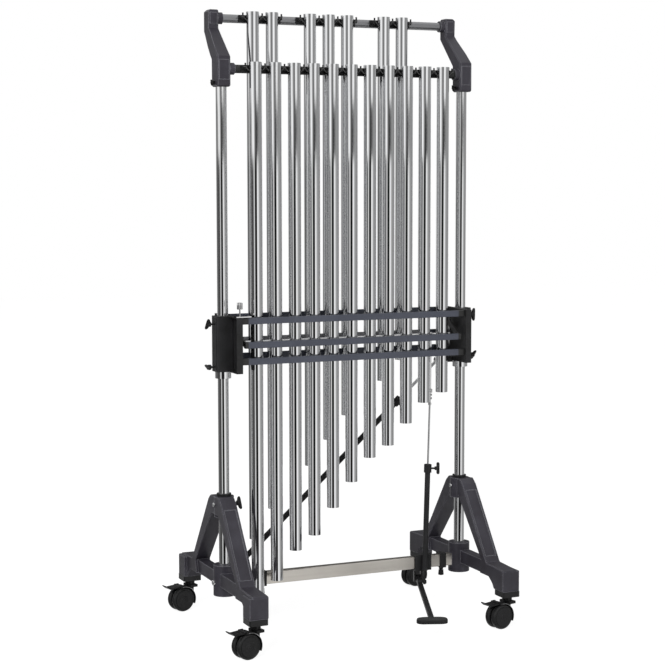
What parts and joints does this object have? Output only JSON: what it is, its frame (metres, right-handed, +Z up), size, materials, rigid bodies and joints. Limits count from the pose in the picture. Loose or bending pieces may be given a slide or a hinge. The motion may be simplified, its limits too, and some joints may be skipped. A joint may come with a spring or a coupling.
{
  "type": "tubular bells",
  "caption": "Wheeled stand of hanging chrome chime tubes in two rows, with a pedal damper and height-adjustable posts.",
  "frame": {"origin": "centre of the bounding box on the floor", "axes": "+X towards the short, high tubes; the player stands on -Y; +Z up"},
  "size_m": [0.9626, 0.6828, 1.8735],
  "materials": {
    "chrome_tube": "polished",
    "chrome_post": "polished",
    "bright_steel": "polished",
    "cast_grey": "hammered paint",
    "black_paint": "textured",
    "slate_bar": "smooth satin",
    "satin_bar": "satin",
    "black_plastic": "moulded",
    "rubber_black": "matte",
    "wheel_grey": "moulded",
    "felt_grey": "felt",
    "cord_black": "braided"
  },
  "bodies": {
    "base": {"stand_left": "cast_grey", "stand_right": "cast_grey", "post_bushes": "black_plastic", "crossbar": "satin_bar", "crossbar_clamps": "black_paint", "pedal_bracket": "black_paint", "caster_sockets": "black_plastic"},
    "upper_frame": {"posts": "chrome_post", "bracket_left": "cast_grey", "bracket_right": "cast_grey", "rails": "black_paint", "rail_hooks": "black_plastic", "tube_cords": "cord_black", "damper_housing_left": "black_paint", "damper_housing_right": "black_paint", "damper_rails": "slate_bar", "damper_stop": "bright_steel", "clamp_screws": "black_plastic"},
    "chime_c1": {"tube_c1": "chrome_tube"},
    "chime_d1": {"tube_d1": "chrome_tube"},
    "chime_e1": {"tube_e1": "chrome_tube"},
    "chime_f1": {"tube_f1": "chrome_tube"},
    "chime_g1": {"tube_g1": "chrome_tube"},
    "chime_a1": {"tube_a1": "chrome_tube"},
    "chime_b1": {"tube_b1": "chrome_tube"},
    "chime_c2": {"tube_c2": "chrome_tube"},
    "chime_d2": {"tube_d2": "chrome_tube"},
    "chime_e2": {"tube_e2": "chrome_tube"},
    "chime_f2": {"tube_f2": "chrome_tube"},
    "chime_c1_sharp": {"tube_c1_sharp": "chrome_tube"},
    "chime_d1_sharp": {"tube_d1_sharp": "chrome_tube"},
    "chime_f1_sharp": {"tube_f1_sharp": "chrome_tube"},
    "chime_g1_sharp": {"tube_g1_sharp": "chrome_tube"},
    "chime_a1_sharp": {"tube_a1_sharp": "chrome_tube"},
    "chime_c2_sharp": {"tube_c2_sharp": "chrome_tube"},
    "chime_d2_sharp": {"tube_d2_sharp": "chrome_tube"},
    "caster_front_left": {"caster_body_front_left": "black_plastic"},
    "wheels_front_left": {"caster_wheels_front_left": "wheel_grey"},
    "brake_front_left": {"brake_lever_front_left": "black_plastic"},
    "caster_rear_left": {"caster_body_rear_left": "black_plastic"},
    "wheels_rear_left": {"caster_wheels_rear_left": "wheel_grey"},
    "brake_rear_left": {"brake_lever_rear_left": "black_plastic"},
    "caster_front_right": {"caster_body_front_right": "black_plastic"},
    "wheels_front_right": {"caster_wheels_front_right": "wheel_grey"},
    "brake_front_right": {"brake_lever_front_right": "black_plastic"},
    "caster_rear_right": {"caster_body_rear_right": "black_plastic"},
    "wheels_rear_right": {"caster_wheels_rear_right": "wheel_grey"},
    "brake_rear_right": {"brake_lever_rear_right": "black_plastic"},
    "knob_left": {"stand_knob_left": "black_plastic"},
    "knob_right": {"stand_knob_right": "black_plastic"},
    "pedal": {"pedal": "black_paint"},
    "pedal_tube": {"pedal_tube": "black_paint"},
    "pull_rod": {"pull_rod": "bright_steel"},
    "damper_shaft": {"damper_shaft": "bright_steel"},
    "damper_bar_front": {"damper_bar_front": "slate_bar", "damper_felt_front": "felt_grey"},
    "damper_bar_back": {"damper_bar_back": "slate_bar", "damper_felt_back": "felt_grey"},
    "brace_tube": {"brace_tube": "black_paint"},
    "brace_rod": {"brace_rod": "bright_steel"}
  },
  "joints": [
    {"name": "height_slide", "type": "slide", "parent": "base", "child": "upper_frame", "axis": [0, 0, 1], "range_m": [0, 0.08]},
    {"name": "swing_c1", "type": "hinge", "parent": "upper_frame", "child": "chime_c1", "pos_m": [-0.28497, -0.03162, 1.693], "axis": [1, 0, 0], "range_deg": [0, 0.5]},
    {"name": "swing_d1", "type": "hinge", "parent": "upper_frame", "child": "chime_d1", "pos_m": [-0.22298, -0.03162, 1.693], "axis": [1, 0, 0], "range_deg": [0, 0.5]},
    {"name": "swing_e1", "type": "hinge", "parent": "upper_frame", "child": "chime_e1", "pos_m": [-0.16098, -0.03162, 1.693], "axis": [1, 0, 0], "range_deg": [0, 0.5]},
    {"name": "swing_f1", "type": "hinge", "parent": "upper_frame", "child": "chime_f1", "pos_m": [-0.09897, -0.03162, 1.693], "axis": [1, 0, 0], "range_deg": [0, 0.5]},
    {"name": "swing_g1", "type": "hinge", "parent": "upper_frame", "child": "chime_g1", "pos_m": [-0.03698, -0.03162, 1.693], "axis": [1, 0, 0], "range_deg": [0, 0.5]},
    {"name": "swing_a1", "type": "hinge", "parent": "upper_frame", "child": "chime_a1", "pos_m": [0.02502, -0.03162, 1.693], "axis": [1, 0, 0], "range_deg": [0, 0.5]},
    {"name": "swing_b1", "type": "hinge", "parent": "upper_frame", "child": "chime_b1", "pos_m": [0.08703, -0.03162, 1.693], "axis": [1, 0, 0], "range_deg": [0, 0.5]},
    {"name": "swing_c2", "type": "hinge", "parent": "upper_frame", "child": "chime_c2", "pos_m": [0.14902, -0.03162, 1.693], "axis": [1, 0, 0], "range_deg": [0, 0.5]},
    {"name": "swing_d2", "type": "hinge", "parent": "upper_frame", "child": "chime_d2", "pos_m": [0.21102, -0.03162, 1.693], "axis": [1, 0, 0], "range_deg": [0, 0.5]},
    {"name": "swing_e2", "type": "hinge", "parent": "upper_frame", "child": "chime_e2", "pos_m": [0.27303, -0.03162, 1.693], "axis": [1, 0, 0], "range_deg": [0, 0.5]},
    {"name": "swing_f2", "type": "hinge", "parent": "upper_frame", "child": "chime_f2", "pos_m": [0.33503, -0.03162, 1.693], "axis": [1, 0, 0], "range_deg": [0, 0.5]},
    {"name": "swing_c1_sharp", "type": "hinge", "parent": "upper_frame", "child": "chime_c1_sharp", "pos_m": [-0.25398, 0.07038, 1.849], "axis": [-1, 0, 0], "range_deg": [0, 0.5]},
    {"name": "swing_d1_sharp", "type": "hinge", "parent": "upper_frame", "child": "chime_d1_sharp", "pos_m": [-0.19198, 0.07038, 1.849], "axis": [-1, 0, 0], "range_deg": [0, 0.5]},
    {"name": "swing_f1_sharp", "type": "hinge", "parent": "upper_frame", "child": "chime_f1_sharp", "pos_m": [-0.06797, 0.07038, 1.849], "axis": [-1, 0, 0], "range_deg": [0, 0.5]},
    {"name": "swing_g1_sharp", "type": "hinge", "parent": "upper_frame", "child": "chime_g1_sharp", "pos_m": [-0.00598, 0.07038, 1.849], "axis": [-1, 0, 0], "range_deg": [0, 0.5]},
    {"name": "swing_a1_sharp", "type": "hinge", "parent": "upper_frame", "child": "chime_a1_sharp", "pos_m": [0.05602, 0.07038, 1.849], "axis": [-1, 0, 0], "range_deg": [0, 0.5]},
    {"name": "swing_c2_sharp", "type": "hinge", "parent": "upper_frame", "child": "chime_c2_sharp", "pos_m": [0.18002, 0.07038, 1.849], "axis": [-1, 0, 0], "range_deg": [0, 0.5]},
    {"name": "swing_d2_sharp", "type": "hinge", "parent": "upper_frame", "child": "chime_d2_sharp", "pos_m": [0.24202, 0.07038, 1.849], "axis": [-1, 0, 0], "range_deg": [0, 0.5]},
    {"name": "swivel_front_left", "type": "hinge", "parent": "base", "child": "caster_front_left", "pos_m": [-0.38698, -0.27962, 0.102], "axis": [0, 0, 1], "continuous": true},
    {"name": "roll_front_left", "type": "hinge", "parent": "caster_front_left", "child": "wheels_front_left", "pos_m": [-0.41996, -0.28785, 0.038], "axis": [-0.2419, 0.9703, 0], "continuous": true},
    {"name": "brake_front_left", "type": "hinge", "parent": "caster_front_left", "child": "brake_front_left", "pos_m": [-0.4287, -0.29002, 0.0795], "axis": [0.2419, -0.9703, 0], "range_deg": [0, 15]},
    {"name": "swivel_rear_left", "type": "hinge", "parent": "base", "child": "caster_rear_left", "pos_m": [-0.38698, 0.31238, 0.102], "axis": [0, 0, 1], "continuous": true},
    {"name": "roll_rear_left", "type": "hinge", "parent": "caster_rear_left", "child": "wheels_rear_left", "pos_m": [-0.41996, 0.30416, 0.038], "axis": [-0.2419, 0.9703, 0], "continuous": true},
    {"name": "brake_rear_left", "type": "hinge", "parent": "caster_rear_left", "child": "brake_rear_left", "pos_m": [-0.4287, 0.30198, 0.0795], "axis": [0.2419, -0.9703, 0], "range_deg": [0, 15]},
    {"name": "swivel_front_right", "type": "hinge", "parent": "base", "child": "caster_front_right", "pos_m": [0.43702, -0.27962, 0.102], "axis": [0, 0, 1], "continuous": true},
    {"name": "roll_front_right", "type": "hinge", "parent": "caster_front_right", "child": "wheels_front_right", "pos_m": [0.40403, -0.28785, 0.038], "axis": [-0.2419, 0.9703, 0], "continuous": true},
    {"name": "brake_front_right", "type": "hinge", "parent": "caster_front_right", "child": "brake_front_right", "pos_m": [0.3953, -0.29002, 0.0795], "axis": [0.2419, -0.9703, 0], "range_deg": [0, 15]},
    {"name": "swivel_rear_right", "type": "hinge", "parent": "base", "child": "caster_rear_right", "pos_m": [0.43702, 0.31238, 0.102], "axis": [0, 0, 1], "continuous": true},
    {"name": "roll_rear_right", "type": "hinge", "parent": "caster_rear_right", "child": "wheels_rear_right", "pos_m": [0.40403, 0.30416, 0.038], "axis": [-0.2419, 0.9703, 0], "continuous": true},
    {"name": "brake_rear_right", "type": "hinge", "parent": "caster_rear_right", "child": "brake_rear_right", "pos_m": [0.3953, 0.30198, 0.0795], "axis": [0.2419, -0.9703, 0], "range_deg": [0, 15]},
    {"name": "post_clamp_left", "type": "hinge", "parent": "base", "child": "knob_left", "pos_m": [-0.32498, 0.01638, 0.3915], "axis": [1, 0, 0], "range_deg": [0, 180]},
    {"name": "post_clamp_right", "type": "hinge", "parent": "base", "child": "knob_right", "pos_m": [0.47502, 0.01638, 0.3915], "axis": [1, 0, 0], "range_deg": [0, 180]},
    {"name": "pedal_press", "type": "hinge", "parent": "base", "child": "pedal", "pos_m": [0.29302, 0.04638, 0.094], "axis": [0.9409, -0.3387, 0], "range_deg": [0, 5], "stiffness_Nm_per_rad": 14, "springref_deg": -28.65},
    {"name": "pedal_tube_slide", "type": "slide", "parent": "base", "child": "pedal_tube", "axis": [-0.0292, 0, -0.9996], "range_m": [0, 0.00513]},
    {"name": "pull_rod_slide", "type": "slide", "parent": "upper_frame", "child": "pull_rod", "axis": [-0.0292, 0, -0.9996], "range_m": [0, 0.00513]},
    {"name": "damper_shaft_turn", "type": "hinge", "parent": "upper_frame", "child": "damper_shaft", "pos_m": [0.02502, 0.01938, 0.878], "axis": [1, 0, 0], "range_deg": [0, 8.91]},
    {"name": "damper_open_front", "type": "slide", "parent": "upper_frame", "child": "damper_bar_front", "axis": [0, -1, 0], "range_m": [0, 0.00777]},
    {"name": "damper_open_back", "type": "slide", "parent": "upper_frame", "child": "damper_bar_back", "axis": [0, 1, 0], "range_m": [0, 0.00777]},
    {"name": "brace_tilt", "type": "hinge", "parent": "base", "child": "brace_tube", "pos_m": [-0.32698, 0.02038, 0.202], "axis": [0, -1, 0], "range_deg": [0, 3.61]},
    {"name": "brace_extend", "type": "slide", "parent": "brace_tube", "child": "brace_rod", "axis": [0.7491, 0, 0.6624], "range_m": [0, 0.05499]}
  ],
  "couplings": [
    {"joint": "pedal_tube_slide", "follows": "pedal_press", "m_per_rad": 0.058688},
    {"joint": "pull_rod_slide", "follows": "pedal_press", "m_per_rad": 0.058688},
    {"joint": "damper_shaft_turn", "follows": "pedal_press", "ratio": 1.7777},
    {"joint": "damper_open_front", "follows": "pedal_press", "m_per_rad": 0.088883},
    {"joint": "damper_open_back", "follows": "pedal_press", "m_per_rad": 0.088883},
    {"joint": "brace_tilt", "follows": "height_slide", "rad_per_m": 0.78527},
    {"joint": "brace_extend", "follows": "height_slide", "ratio": 0.68597}
  ]
}
